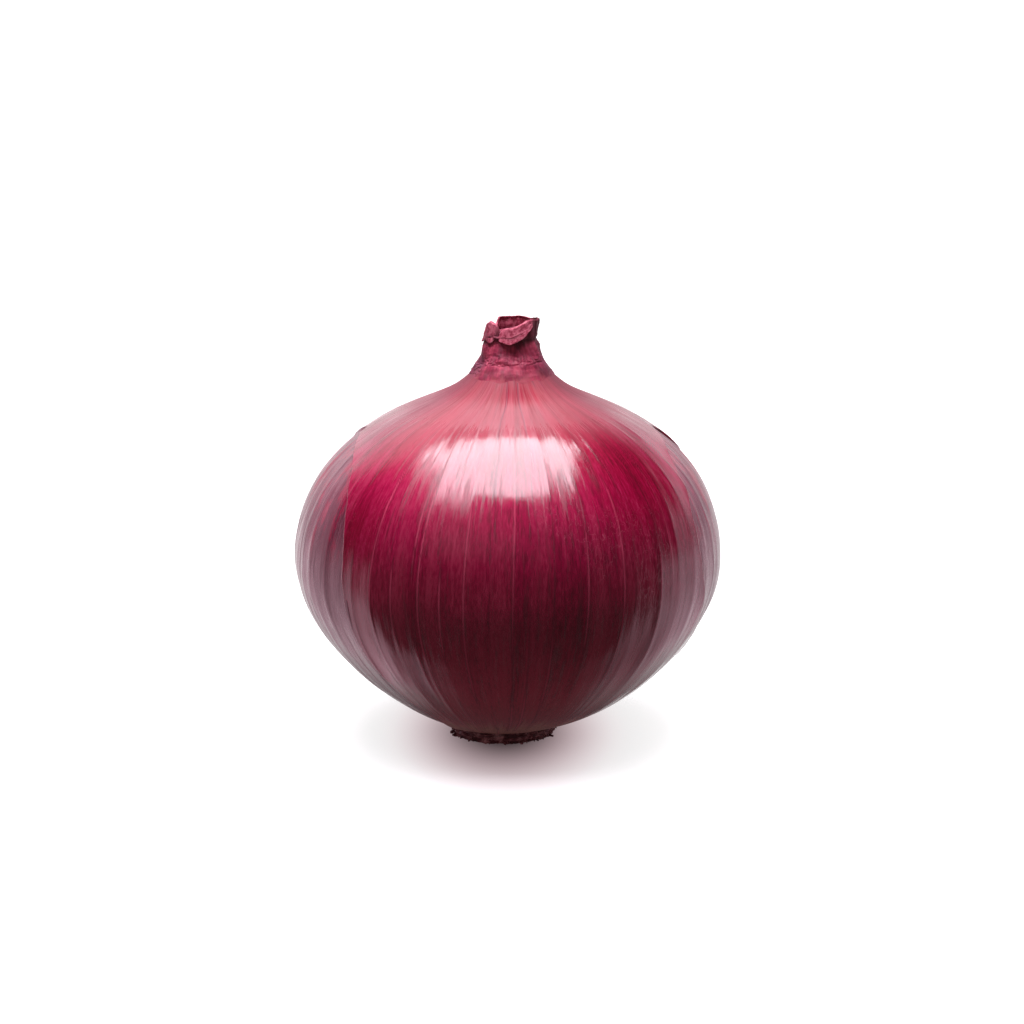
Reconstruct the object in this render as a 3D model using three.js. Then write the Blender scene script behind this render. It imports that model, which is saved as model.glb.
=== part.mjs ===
// A whole red onion, dry and cured, standing on its root plate.
//
// Root plate, bulb, neck and the withered tuft on top grew as one piece, so they are one closed
// solid. Millimetres, +Z up. The origin lies under the middle of the bulb, on the surface that
// the onion stands on, and its front faces -Y.

import * as THREE from 'three';

// Root plate: the corky disc under the bulb, flat where the onion rests on it.
const ROOT_RADIUS = 8.9;
const ROOT_HEIGHT = 2.0;
const ROOT_EDGE = 0.5;

// Bulb: a slightly squat globe.
const BELLY_RADIUS = 38;
const BELLY_HEIGHT = 32.8;
const UNDERSIDE_SLOPE = THREE.MathUtils.degToRad(14);
const UNDERSIDE_REACH = 14.5;
const BELLY_ROUND_BELOW = 12.8;
const BELLY_ROUND_ABOVE = 16.5;

// Shoulder: where the globe stops curving in and starts to flare up into the neck.
const SHOULDER_RADIUS = 20.4;
const SHOULDER_HEIGHT = 58.8;
const SHOULDER_SLOPE = THREE.MathUtils.degToRad(25);
const SHOULDER_ROUND = 4.4;
const SHOULDER_FLARE = 10.4;

// Neck: the withered leaf bases, nearly straight where they have been cut.
const NECK_RADIUS = 4.6;
const NECK_HEIGHT = 73;
const NECK_SLOPE = THREE.MathUtils.degToRad(80);
const NECK_FLARE = 9.9;

// Tuft: the cut, crumpled end of the neck, a rim round a shallow hollow.
const ONION_HEIGHT = 76.3;
const TUFT_RIM = 1.3;
const TUFT_HOLLOW_DEPTH = 1.2;
const TUFT_FOLDS = 5;
const TUFT_FOLD_DEPTH = 0.35;
const TUFT_TILT = 0.5;

// The axis is not quite upright: the root plate sits to the left of the belly and the neck to
// the right of it.
const ROOT_OFFSET = -0.8;
const NECK_OFFSET = 0.7;

// Low swellings round the belly, each a wave with its own number of crests.
const SWELLINGS = [
  { crests: 3, height: 0.14, turn: 0.4 },
  { crests: 7, height: 0.1, turn: 1.3 },
  { crests: 11, height: 0.07, turn: 2.1 },
];

// Facets: steps round the axis, and steps along each curve of the outline.
const STEPS_ROUND = 72;
const STEPS_PER_CURVE = 13;

// A point at a distance from another, in the direction that climbs inwards at a slope.
function inwards(from, slope, distance) {
  const x = from.x - distance * Math.cos(slope);
  const y = from.y + distance * Math.sin(slope);
  return new THREE.Vector2(x, y);
}

// Half of the onion's lengthwise section, from the middle of the root plate, round the outside,
// to the middle of the tuft. X is the distance from the axis and Y the height.
function sectionOutline() {
  const rootTop = new THREE.Vector2(ROOT_RADIUS, ROOT_HEIGHT);
  const belly = new THREE.Vector2(BELLY_RADIUS, BELLY_HEIGHT);
  const shoulder = new THREE.Vector2(SHOULDER_RADIUS, SHOULDER_HEIGHT);
  const neck = new THREE.Vector2(NECK_RADIUS, NECK_HEIGHT);

  const outline = new THREE.Path();
  outline.moveTo(0, 0);
  outline.lineTo(ROOT_RADIUS - ROOT_EDGE, 0);
  outline.lineTo(ROOT_RADIUS, ROOT_EDGE);
  outline.lineTo(rootTop.x, rootTop.y);

  const leavesRoot = inwards(rootTop, -UNDERSIDE_SLOPE, -UNDERSIDE_REACH);
  outline.bezierCurveTo(
    leavesRoot.x, leavesRoot.y,
    belly.x, belly.y - BELLY_ROUND_BELOW,
    belly.x, belly.y,
  );

  const meetsShoulder = inwards(shoulder, SHOULDER_SLOPE, -SHOULDER_ROUND);
  outline.bezierCurveTo(
    belly.x, belly.y + BELLY_ROUND_ABOVE,
    meetsShoulder.x, meetsShoulder.y,
    shoulder.x, shoulder.y,
  );

  const leavesShoulder = inwards(shoulder, SHOULDER_SLOPE, SHOULDER_FLARE);
  const meetsNeck = inwards(neck, NECK_SLOPE, -NECK_FLARE);
  outline.bezierCurveTo(
    leavesShoulder.x, leavesShoulder.y,
    meetsNeck.x, meetsNeck.y,
    neck.x, neck.y,
  );

  const rimTop = ONION_HEIGHT - TUFT_TILT;
  const rimInside = NECK_RADIUS - TUFT_RIM;
  outline.lineTo(NECK_RADIUS - TUFT_RIM * 0.2, rimTop - TUFT_RIM * 0.5);
  outline.lineTo(NECK_RADIUS - TUFT_RIM * 0.6, rimTop);
  outline.lineTo(rimInside, rimTop - TUFT_RIM * 0.4);
  outline.lineTo(rimInside * 0.7, rimTop - TUFT_HOLLOW_DEPTH);
  outline.lineTo(0, rimTop - TUFT_HOLLOW_DEPTH);
  return outline.getPoints(STEPS_PER_CURVE);
}

// How far the axis lies to the right of the belly's middle at a height.
function axisOffset(height) {
  if (height < BELLY_HEIGHT) {
    return ROOT_OFFSET * (1 - THREE.MathUtils.smoothstep(height, 0, BELLY_HEIGHT));
  }
  return NECK_OFFSET * THREE.MathUtils.smoothstep(height, BELLY_HEIGHT, NECK_HEIGHT);
}

// How far the belly swells out at an angle, fading to nothing at the root plate and the neck.
function swelling(angle, height) {
  const belly = Math.sin(Math.PI * THREE.MathUtils.clamp(height / NECK_HEIGHT, 0, 1));
  let out = 0;
  for (const wave of SWELLINGS) {
    out += wave.height * Math.cos(wave.crests * angle + wave.turn);
  }
  return out * belly;
}

// Moves one point of the round shape to its place on the grown one.
function grow(point) {
  const angle = Math.atan2(point.y, point.x);
  const radius = Math.hypot(point.x, point.y);
  const tuft = THREE.MathUtils.smoothstep(point.z, NECK_HEIGHT - NECK_RADIUS, ONION_HEIGHT);
  const fold = TUFT_FOLD_DEPTH * tuft * Math.cos(TUFT_FOLDS * angle) * radius / NECK_RADIUS;
  const grownRadius = radius > 0 ? radius + fold + swelling(angle, point.z) : 0;
  const offset = axisOffset(point.z);
  // The cut slopes: the rim is highest at the back right.
  const tilt = TUFT_TILT * tuft * Math.cos(angle - Math.PI / 3) * radius / NECK_RADIUS;
  point.set(
    offset + grownRadius * Math.cos(angle),
    grownRadius * Math.sin(angle),
    point.z + tilt,
  );
}

function onionGeometry() {
  const geometry = new THREE.LatheGeometry(sectionOutline(), STEPS_ROUND);
  geometry.rotateX(Math.PI / 2);
  const places = geometry.attributes.position;
  const point = new THREE.Vector3();
  for (let i = 0; i < places.count; i += 1) {
    point.fromBufferAttribute(places, i);
    grow(point);
    places.setXYZ(i, point.x, point.y, point.z);
  }
  geometry.computeBoundingBox();
  const middle = geometry.boundingBox.getCenter(new THREE.Vector3());
  geometry.translate(-middle.x, -middle.y, 0);
  geometry.computeVertexNormals();
  return geometry;
}

// Dry, glossy skin.
const skin = new THREE.MeshStandardMaterial({
  color: 0x7a1233,
  roughness: 0.3,
  metalness: 0,
});

const onion = new THREE.Group();
const bulb = new THREE.Mesh(onionGeometry(), skin);
bulb.name = 'onion_bulb';
onion.add(bulb);

export default onion;
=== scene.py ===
"""The looks of a whole red onion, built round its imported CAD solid.

Metres, +Z up. The onion stands on its root plate at z = 0 and its front faces -Y. Angles round
it are in radians from the front, positive to the viewer's right.
"""

import math
from types import SimpleNamespace

import bmesh
import bpy
import numpy as np
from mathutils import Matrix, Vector
from mathutils.kdtree import KDTree


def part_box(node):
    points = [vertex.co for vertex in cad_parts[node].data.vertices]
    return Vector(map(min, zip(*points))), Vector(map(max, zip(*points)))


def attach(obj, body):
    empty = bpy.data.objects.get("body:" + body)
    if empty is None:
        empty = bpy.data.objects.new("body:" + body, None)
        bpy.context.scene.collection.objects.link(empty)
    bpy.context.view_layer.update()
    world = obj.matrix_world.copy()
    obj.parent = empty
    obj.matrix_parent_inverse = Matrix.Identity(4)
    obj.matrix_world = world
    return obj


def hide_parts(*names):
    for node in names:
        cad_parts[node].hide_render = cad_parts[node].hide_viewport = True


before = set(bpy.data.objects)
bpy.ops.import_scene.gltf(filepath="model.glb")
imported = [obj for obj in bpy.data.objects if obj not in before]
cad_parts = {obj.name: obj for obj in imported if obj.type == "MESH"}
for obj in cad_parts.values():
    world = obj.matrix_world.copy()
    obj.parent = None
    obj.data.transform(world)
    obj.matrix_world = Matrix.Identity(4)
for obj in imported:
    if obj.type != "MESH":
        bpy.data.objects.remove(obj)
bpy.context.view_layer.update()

MM = 0.001
DEG = math.pi / 180
TURN = 2 * math.pi
BULB = "onion_bulb"
LOWEST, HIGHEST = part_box(BULB)

# The outline of the bulb, as in the CAD solid: radius and height where the curves join.
BELLY_RADIUS = (HIGHEST.x - LOWEST.x) / 2
TOP = HIGHEST.z
ROOT_RADIUS = 8.9 * MM
ROOT_HEIGHT = 2.0 * MM
BELLY_HEIGHT = 32.8 * MM
SHOULDER_RADIUS = 20.4 * MM
SHOULDER_HEIGHT = 58.8 * MM
NECK_RADIUS = 4.6 * MM
NECK_HEIGHT = 73.0 * MM
ROOT_OFFSET = -0.8 * MM
NECK_OFFSET = 0.7 * MM

# The dry skin stands off the belly a little, and the root plate sits a little towards the front.
BELLY_SWELL = 0.22 * MM
ROOT_FORWARD = 0.7 * MM


# -------- numbers


def smooth(low, high, x):
    """0 below low, 1 above high, and an S-shaped rise between."""
    t = np.clip((x - low) / (high - low), 0, 1)
    return t * t * (3 - 2 * t)


def peak(x, width):
    """1 at zero, falling away on both sides over a width."""
    return np.exp(-((x / width) ** 2))


def stacked(*values):
    """Joins numbers, each known at every place, into one vector at every place."""
    return np.stack(np.broadcast_arrays(*values), -1)


def path_lengths(points):
    """The length of a path up to each of its points."""
    return np.concatenate([[0], np.cumsum(np.hypot(*np.diff(points, axis=0).T))])


def bezier(a, b, c, d, steps=160):
    """Points along a cubic curve from a to d, pulled towards b and c."""
    t = np.linspace(0, 1, steps)[:, None]
    a, b, c, d = (np.array(p, float) for p in (a, b, c, d))
    return (1 - t) ** 3 * a + 3 * (1 - t) ** 2 * t * b + 3 * (1 - t) * t**2 * c + t**3 * d


def through(points, x):
    """A smooth curve through (x, y) points, level at its ends, read at x."""
    px, py = np.array(points, float).T
    slope = np.gradient(py, px)
    i = np.clip(np.searchsorted(px, x) - 1, 0, len(px) - 2)
    width = px[i + 1] - px[i]
    t = np.clip((x - px[i]) / width, 0, 1)
    return (
        (2 * t**3 - 3 * t**2 + 1) * py[i]
        + (t**3 - 2 * t**2 + t) * width * slope[i]
        + (3 * t**2 - 2 * t**3) * py[i + 1]
        + (t**3 - t**2) * width * slope[i + 1]
    )


def lattice(angle, along, cells_round, cells_along, seed):
    """Smooth noise of about -1 to 1 over the skin, seamless round it. along runs from 0 to 1."""
    rng = np.random.default_rng(seed)
    grid = rng.uniform(-1, 1, (cells_along + 3, cells_round))
    u = (angle / TURN) % 1 * cells_round
    v = np.clip(along, 0, 1) * cells_along
    i, j = np.floor(u).astype(int), np.floor(v).astype(int)
    fu, fv = u - i, v - j
    fu, fv = fu * fu * (3 - 2 * fu), fv * fv * (3 - 2 * fv)
    i, i1 = i % cells_round, (i + 1) % cells_round
    low = grid[j, i] * (1 - fu) + grid[j, i1] * fu
    high = grid[j + 1, i] * (1 - fu) + grid[j + 1, i1] * fu
    return low * (1 - fv) + high * fv


# -------- the bulb's form


def outline_points():
    """The outline from the root plate's rim to the top of the neck, as (radius, height)."""

    def beyond(point, slope, distance):
        """A point at a distance in millimetres from another, outwards and up a slope."""
        run, rise = math.cos(slope * DEG), math.sin(slope * DEG)
        return point[0] + distance * MM * run, point[1] + distance * MM * rise

    root = (ROOT_RADIUS, ROOT_HEIGHT)
    belly = (BELLY_RADIUS, BELLY_HEIGHT)
    shoulder = (SHOULDER_RADIUS, SHOULDER_HEIGHT)
    neck = (NECK_RADIUS, NECK_HEIGHT)
    curves = (
        bezier(root, beyond(root, 14, 14.5), beyond(belly, -90, 12.8), belly),
        bezier(belly, beyond(belly, 90, 16.5), beyond(shoulder, -25, 4.4), shoulder)[1:],
        bezier(shoulder, beyond(shoulder, -25, -10.4), beyond(neck, -80, 9.9), neck)[1:],
    )
    return np.vstack(curves)


OUTLINE = outline_points()
OUTLINE_LENGTHS = path_lengths(OUTLINE)
LENGTH = OUTLINE_LENGTHS[-1]


def outline_at(along):
    """Radius, height and the outward normal's two parts at a share of the outline's length."""
    length = along * LENGTH
    radius, height = (np.interp(length, OUTLINE_LENGTHS, x) for x in OUTLINE.T)
    step = 0.2 * MM
    ahead = [np.interp(length + step, OUTLINE_LENGTHS, x) for x in OUTLINE.T]
    behind = [np.interp(length - step, OUTLINE_LENGTHS, x) for x in OUTLINE.T]
    run, rise = ahead[0] - behind[0], ahead[1] - behind[1]
    size = np.maximum(np.hypot(run, rise), 1e-12)
    return radius, height, rise / size, -run / size


def along_of(height):
    """The share of the outline's length at a height."""
    return float(np.interp(height, OUTLINE[:, 1], OUTLINE_LENGTHS) / LENGTH)


def axis_offset(height):
    """How far the onion's axis lies to the right of the belly's middle at a height."""
    below = ROOT_OFFSET * (1 - smooth(1.5 * MM, 8 * MM, height))
    above = NECK_OFFSET * smooth(BELLY_HEIGHT, NECK_HEIGHT, height)
    return np.where(height < BELLY_HEIGHT, below, above)


def round_axis(angle, radius, height):
    """Places at a distance from the onion's axis."""
    x = axis_offset(height) + radius * np.sin(angle)
    y = -radius * np.cos(angle)
    return stacked(x, y, height)


def on_skin(angle, along, lift):
    """Places on the skin, lifted off the plain outline along its normal."""
    radius, height, out, up = outline_at(along)
    swell = smooth(8 * MM, 24 * MM, height) * (1 - smooth(46 * MM, 60 * MM, height))
    lift = lift + BELLY_SWELL * swell
    return round_axis(angle, radius + lift * out, height + lift * up)


# -------- veins and strips of the skin


def vein_angles(count, seed, fixed=()):
    """Unevenly spaced angles for the veins. fixed are veins in degrees that push others away."""
    rng = np.random.default_rng(seed)
    even = (np.arange(count) + rng.uniform(-0.5, 0.5, count)) / count * TURN
    fixed = np.array(fixed) * DEG % TURN
    gap = TURN / count
    if len(fixed):
        apart = np.abs((even[:, None] - fixed[None, :] + math.pi) % TURN - math.pi).min(1)
        even = even[apart > 0.55 * gap]
    return np.sort(np.concatenate([even, fixed]))


def along_each(count, stations, along, index, seed):
    """A slowly changing number of about -1 to 1 for each vein or strip."""
    table = np.random.default_rng(seed).uniform(-1, 1, (stations + 2, count))
    v = np.clip(along, 0, 1) * stations
    j = np.floor(v).astype(int)
    f = v - j
    f = f * f * (3 - 2 * f)
    return table[j, index] * (1 - f) + table[j + 1, index] * f


def skin_relief(angle, along, veins, seed, depth=1.0, seams=()):
    """Lift of the skin between and on its veins, and the marks that colour it.

    The skin lies in flat strips between the veins, like the planks of a barrel, and bends at
    them. Marks are the nearness of a vein, the tone of the strip and the nearness of a seam:
    seams are long, fine creases at the given degrees.
    """
    angle, along = np.broadcast_arrays(angle, along)
    radius = outline_at(along)[0]
    turned = (angle + 0.8 * DEG * lattice(angle, along, 12, 5, seed)) % TURN
    right = np.searchsorted(veins, turned.ravel()).reshape(turned.shape)
    left = right - 1
    count = len(veins)
    left_at = np.where(left < 0, veins[-1] - TURN, veins[left])
    right_at = np.where(right >= count, veins[0] + TURN, veins[right % count])
    width = right_at - left_at
    share = (turned - left_at) / width
    left, right = left % count, right % count

    # Some strips are flat, others hollow. The bend at a vein is a little rounded.
    hollow = 0.95 + 0.9 * along_each(count, 4, along, left, seed + 1)
    to_left, to_right = share * width * radius, (1 - share) * width * radius
    rounding = 0.30 * MM
    soft_left = np.hypot(to_left, rounding) - rounding
    soft_right = np.hypot(to_right, rounding) - rounding
    dip = soft_left * soft_right / (2 * np.maximum(radius, MM)) * hollow
    height_left = along_each(count, 6, along, left, seed + 2)
    height_right = along_each(count, 6, along, right, seed + 2)
    tilt = 0.05 * MM * (height_left * (1 - share) + height_right * share)

    strength_left = smooth(-0.4, 0.7, along_each(count, 7, along, left, seed + 3))
    strength_right = smooth(-0.4, 0.7, along_each(count, 7, along, right, seed + 3))

    def beside_vein(width):
        near_left = strength_left * peak(to_left, width)
        return np.maximum(near_left, strength_right * peak(to_right, width))

    line, ridge = beside_vein(0.15 * MM), beside_vein(0.32 * MM)
    broad = 0.10 * MM * lattice(angle, along, 30, 5, seed + 5)
    middle = 0.036 * MM * lattice(angle, along, 90, 9, seed + 8)
    cross = 0.045 * MM * lattice(angle, along, 30, 24, seed + 6)
    fine = 0.016 * MM * lattice(angle, along, 190, 15, seed + 7)
    fade = (radius / BELLY_RADIUS) ** 1.3
    lift = depth * fade * (tilt - dip + broad + middle + cross + fine + 0.035 * MM * ridge)

    seam = np.zeros(angle.shape)
    for i, degrees in enumerate(seams):
        bend = 1.1 * DEG * lattice(angle * 0, along, 1, 16, seed + 30 + i)
        away = ((angle - degrees * DEG - bend + math.pi) % TURN - math.pi) * radius
        seam = np.maximum(seam, peak(away, 0.13 * MM))
    lift = lift - 0.03 * MM * seam

    tone = along_each(count, 5, along, left, seed + 4)
    tone = tone * smooth(0, 0.25, np.minimum(share, 1 - share))
    return lift, stacked(line, tone, seam)


# -------- meshes


def add_object(name, mesh, material):
    """Puts a mesh in the scene as a piece of the onion."""
    piece = bpy.data.objects.new(name, mesh)
    bpy.context.scene.collection.objects.link(piece)
    mesh.materials.append(material)
    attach(piece, "root")
    return piece


def new_mesh(name, places, layers=None, leave_out=None):
    """A smooth mesh of a grid of places. Its rows go up and its columns go round to the right.

    layers are named vectors kept at the vertices. leave_out marks quads with no face. Vertices
    at one place become one. The map for baking is the grid itself.
    """
    rows, columns = places.shape[:2]
    i, j = np.meshgrid(np.arange(rows - 1), np.arange(columns), indexing="ij")
    if leave_out is not None:
        i, j = i[~leave_out], j[~leave_out]
    i, j = i.ravel(), j.ravel()
    first, above, over = i * columns, (i + 1) * columns, (j + 1) % columns
    faces = np.stack([first + j, first + over, above + over, above + j], -1)
    mesh = bpy.data.meshes.new(name)
    mesh.from_pydata(places.reshape(-1, 3).tolist(), [], faces.tolist())
    for key, values in (layers or {}).items():
        layer = mesh.attributes.new(key, "FLOAT_VECTOR", "POINT")
        layer.data.foreach_set("vector", values.reshape(-1, 3).astype(np.float32).ravel())
    u = np.stack([j, j + 1, j + 1, j], -1) / columns
    v = np.stack([i, i, i + 1, i + 1], -1) / (rows - 1)
    bake_map = mesh.uv_layers.new(name="OFBake")
    bake_map.data.foreach_set("uv", np.stack([u, v], -1).astype(np.float32).ravel())
    weld(mesh)
    mesh.shade_smooth()
    return mesh


def weld(mesh):
    """Joins vertices at one place, so that no face is left without an area."""
    shape = bmesh.new()
    shape.from_mesh(mesh)
    bmesh.ops.remove_doubles(shape, verts=shape.verts, dist=0.002 * MM)
    shape.to_mesh(mesh)
    shape.free()


def grain_of(angle, along):
    """The coordinates that the skins' patterns are drawn in."""
    return stacked(np.sin(angle), -np.cos(angle), along)


# -------- node helpers


class Nodes:
    """Short names for making the nodes of one material or world."""

    def __init__(self, tree):
        self.tree = tree

    def add(self, kind, inputs=(), **settings):
        node = self.tree.nodes.new(kind)
        for name, value in settings.items():
            setattr(node, name, value)
        for name, value in dict(inputs).items():
            self.feed(node.inputs[name], value)
        return node

    def feed(self, socket, value):
        if isinstance(value, bpy.types.NodeSocket):
            self.tree.links.new(value, socket)
        else:
            socket.default_value = value

    def math(self, operation, a, b=0.0):
        node = self.add("ShaderNodeMath", operation=operation)
        self.feed(node.inputs[0], a)
        self.feed(node.inputs[1], b)
        return node.outputs[0]

    def times(self, a, b):
        return self.math("MULTIPLY", a, b)

    def plus(self, a, b):
        return self.math("ADD", a, b)

    def split(self, vector):
        """The three parts of a vector."""
        parts = self.add("ShaderNodeSeparateXYZ", {"Vector": vector}).outputs
        return parts["X"], parts["Y"], parts["Z"]

    def attribute(self, name):
        return self.add("ShaderNodeAttribute", attribute_name=name).outputs["Vector"]

    def vector(self, operation, a, b):
        node = self.add("ShaderNodeVectorMath", operation=operation)
        self.feed(node.inputs[0], a)
        self.feed(node.inputs[1], b)
        return node.outputs[0]

    def length(self, vector):
        node = self.add("ShaderNodeVectorMath", {"Vector": vector}, operation="LENGTH")
        return node.outputs["Value"]

    def span(self, value, low, high, to_low=0.0, to_high=1.0, kind="SMOOTHSTEP"):
        """Maps a value's range from low to high onto another range, with an S-shaped rise."""
        node = self.add("ShaderNodeMapRange", interpolation_type=kind)
        for i, x in enumerate((value, low, high, to_low, to_high)):
            self.feed(node.inputs[i], x)
        return node.outputs[0]

    def line(self, value, low, high, to_low=0.0, to_high=1.0):
        """Maps a value's range from low to high onto another range, with a straight rise."""
        return self.span(value, low, high, to_low, to_high, "LINEAR")

    def over(self, along, low, high, to_low=0.0, to_high=1.0):
        """A rise over the skin from one height to another, in millimetres."""
        return self.span(along, along_of(low * MM), along_of(high * MM), to_low, to_high)

    def mix(self, share, a, b, blend="MIX"):
        node = self.add("ShaderNodeMix", data_type="RGBA", blend_type=blend)
        self.feed(node.inputs["Factor"], share)
        self.feed(node.inputs[6], a)
        self.feed(node.inputs[7], b)
        return node.outputs[2]

    def tint(self, share, colour, by):
        """The colour multiplied by another one, as far as share says."""
        return self.mix(share, colour, self.mix(1.0, colour, by, blend="MULTIPLY"))

    def ramp(self, value, stops):
        """A colour for each value, from (position, colour) stops."""
        node = self.add("ShaderNodeValToRGB")
        marks = node.color_ramp.elements
        while len(marks) < len(stops):
            marks.new(0.5)
        for mark, (position, colour) in zip(marks, stops):
            mark.position = position
            mark.color = (*colour, 1)
        self.feed(node.inputs[0], value)
        return node.outputs[0]

    def noise(self, place, detail=3.0, roughness=0.5, scale=1.0):
        inputs = {"Vector": place, "Scale": scale, "Detail": detail, "Roughness": roughness}
        return self.add("ShaderNodeTexNoise", inputs).outputs[0]

    def stretched(self, place, across, lengthwise, shift):
        """Pattern coordinates with that many cells across the belly's radius and along the skin."""
        scale = (across, across, lengthwise)
        inputs = {"Vector": place, "Scale": scale, "Location": (shift, shift, shift)}
        return self.add("ShaderNodeMapping", inputs).outputs[0]

    def spot(self, grain, angle, height, reach_round, reach_along):
        """1 at a place on the skin, falling to 0 at the reach: degrees round, millimetres along."""
        middle = (math.sin(angle * DEG), -math.cos(angle * DEG), along_of(height * MM))
        reach = math.sin(reach_round * DEG)
        away = self.vector("SUBTRACT", grain, middle)
        scaled = self.vector("DIVIDE", away, (reach, reach, reach_along * MM / LENGTH))
        return self.span(self.length(scaled), 1.0, 0.0)

    def bump(self, shader, height, strength, distance):
        inputs = {"Strength": strength, "Distance": distance, "Height": height}
        self.feed(shader.inputs["Normal"], self.add("ShaderNodeBump", inputs).outputs["Normal"])


def new_material(name):
    material = bpy.data.materials.new(name)
    material.use_nodes = True
    tree = material.node_tree
    shader = tree.nodes["Principled BSDF"]
    return material, Nodes(tree), shader


# -------- materials

# Colours of the skin from the root plate up to the neck, by height in millimetres.
SKIN_COLOURS = (
    (2.0, (0.32, 0.160, 0.110)),
    (4.8, (0.32, 0.150, 0.105)),
    (7.0, (0.31, 0.036, 0.050)),
    (14.0, (0.34, 0.024, 0.054)),
    (24.0, (0.235, 0.010, 0.034)),
    (36.0, (0.175, 0.002, 0.022)),
    (43.0, (0.20, 0.001, 0.027)),
    (50.0, (0.26, 0.002, 0.036)),
    (56.0, (0.24, 0.011, 0.031)),
    (60.0, (0.235, 0.018, 0.035)),
    (64.5, (0.195, 0.012, 0.025)),
    (66.3, (0.22, 0.014, 0.032)),
    (67.2, (0.19, 0.014, 0.032)),
    (70.0, (0.16, 0.010, 0.026)),
    (73.0, (0.19, 0.014, 0.030)),
)

# Colours that these are mixed with or multiplied by.
DEEP_CRIMSON_AND_SHADE = (0.170, 0.0004, 0.017, 1)
DEEPEN_AND_SHADE = (0.85, 0.06, 0.75, 1)
SALMON = (0.30, 0.016, 0.030, 1)
BLUSH = (0.19, 0.001, 0.015, 1)
CLOUD = (0.80, 0.55, 0.62, 1)
DARK_STREAK = (0.45, 0.30, 0.40, 1)
PALE_STREAK = (0.66, 0.10, 0.18, 1)
SIDE_SHADE = (0.60, 0.80, 0.85, 1)
PALE_VEIN_HIGHLIGHT = (0.46, 0.060, 0.115, 1)
DARK_VEIN = (0.20, 0.012, 0.035, 1)
VEIN_EDGE = (0.35, 0.15, 0.30, 1)
SEAM = (0.11, 0.006, 0.020, 1)
DASH = (0.09, 0.001, 0.012, 1)
CRACKLE = (0.48, 0.12, 0.17, 1)
UNDER_SKIN = (0.065, 0.018, 0.032, 1)
UNDER_MOTTLE = (0.22, 0.003, 0.030, 1)


def skin_patterns(n):
    """The marks and noises that the skin's colour, gloss and relief share."""
    p = SimpleNamespace()
    p.grain = n.attribute("grain")
    p.vein, p.tone, p.seam = n.split(n.attribute("marks"))
    _, p.back, p.along = n.split(p.grain)
    p.broad = n.noise(n.stretched(p.grain, 2.6, 3.0, 3.0), detail=2.0)
    p.streak = n.noise(n.stretched(p.grain, 9.0, 1.8, 1.0), roughness=0.55)
    p.fibre = n.noise(n.stretched(p.grain, 42.0, 7.0, 7.0), roughness=0.6)
    p.hair = n.noise(n.stretched(p.grain, 100.0, 28.0, 5.0), roughness=0.65)
    p.speck = n.noise(n.stretched(p.grain, 85.0, 75.0, 6.0), roughness=0.6)

    # Patches: deep crimson on the right and left of the shoulder, a blush in front of the neck. The
    # right patch is partly the skin's own colour and partly painted shade, where less light falls
    # on the right.
    right, left = n.spot(p.grain, 50, 51, 42, 22), n.spot(p.grain, -47, 43, 16, 13)
    p.deep = n.math("MAXIMUM", right, left)
    p.plain = n.math("SUBTRACT", 1.0, n.times(p.deep, 0.85))
    p.blush = n.times(n.spot(p.grain, 5, 63.9, 34, 4.2), n.span(p.fibre, 0.35, 0.60, 0.6, 1.0))
    p.crackle = crackle(n, p)
    return p


def crackle(n, p):
    """A few faint branching lines on the belly."""
    bends = n.add("ShaderNodeTexNoise", {"Vector": p.grain, "Scale": 18.0, "Detail": 2.0})
    place = n.vector("ADD", n.stretched(p.grain, 7.0, 11.0, 2.0), bends.outputs["Color"])
    cells = n.add("ShaderNodeTexVoronoi", {"Vector": place}, feature="DISTANCE_TO_EDGE")
    lines = n.span(cells.outputs["Distance"], 0.0, 0.035, 1.0, 0.0)
    lines = n.times(lines, n.times(p.plain, n.span(p.broad, 0.50, 0.60)))
    return n.times(n.times(lines, n.over(p.along, 20, 30)), n.over(p.along, 51, 44))


def banded_colour(n, p):
    """The colour by height, with its patches."""
    # The bands end in streaks, because each strip between veins carries them its own way.
    wander = n.plus(n.line(p.streak, 0.3, 0.7, -0.03, 0.03), n.times(p.tone, 0.018))
    wander = n.plus(wander, n.line(p.fibre, 0.3, 0.7, -0.012, 0.012))
    bands = [(along_of(height * MM), colour) for height, colour in SKIN_COLOURS]
    colour = n.ramp(n.plus(p.along, wander), bands)

    # Deep crimson patches: the skin's own colour, and on the right partly painted shade.
    colour = n.mix(n.times(p.deep, 0.85), colour, DEEP_CRIMSON_AND_SHADE)
    salmon = n.times(n.spot(p.grain, 6, 63.8, 40, 5.0), n.span(p.broad, 0.40, 0.62, 0.2, 0.9))
    colour = n.mix(salmon, colour, SALMON)
    colour = n.mix(p.blush, colour, BLUSH)
    cloud = n.noise(n.stretched(p.grain, 7.0, 9.0, 8.0), detail=4.0, roughness=0.6)
    cloud = n.times(n.span(cloud, 0.46, 0.60), n.over(p.along, 54, 59, 0.0, 0.45))
    return n.tint(cloud, colour, CLOUD)


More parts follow.
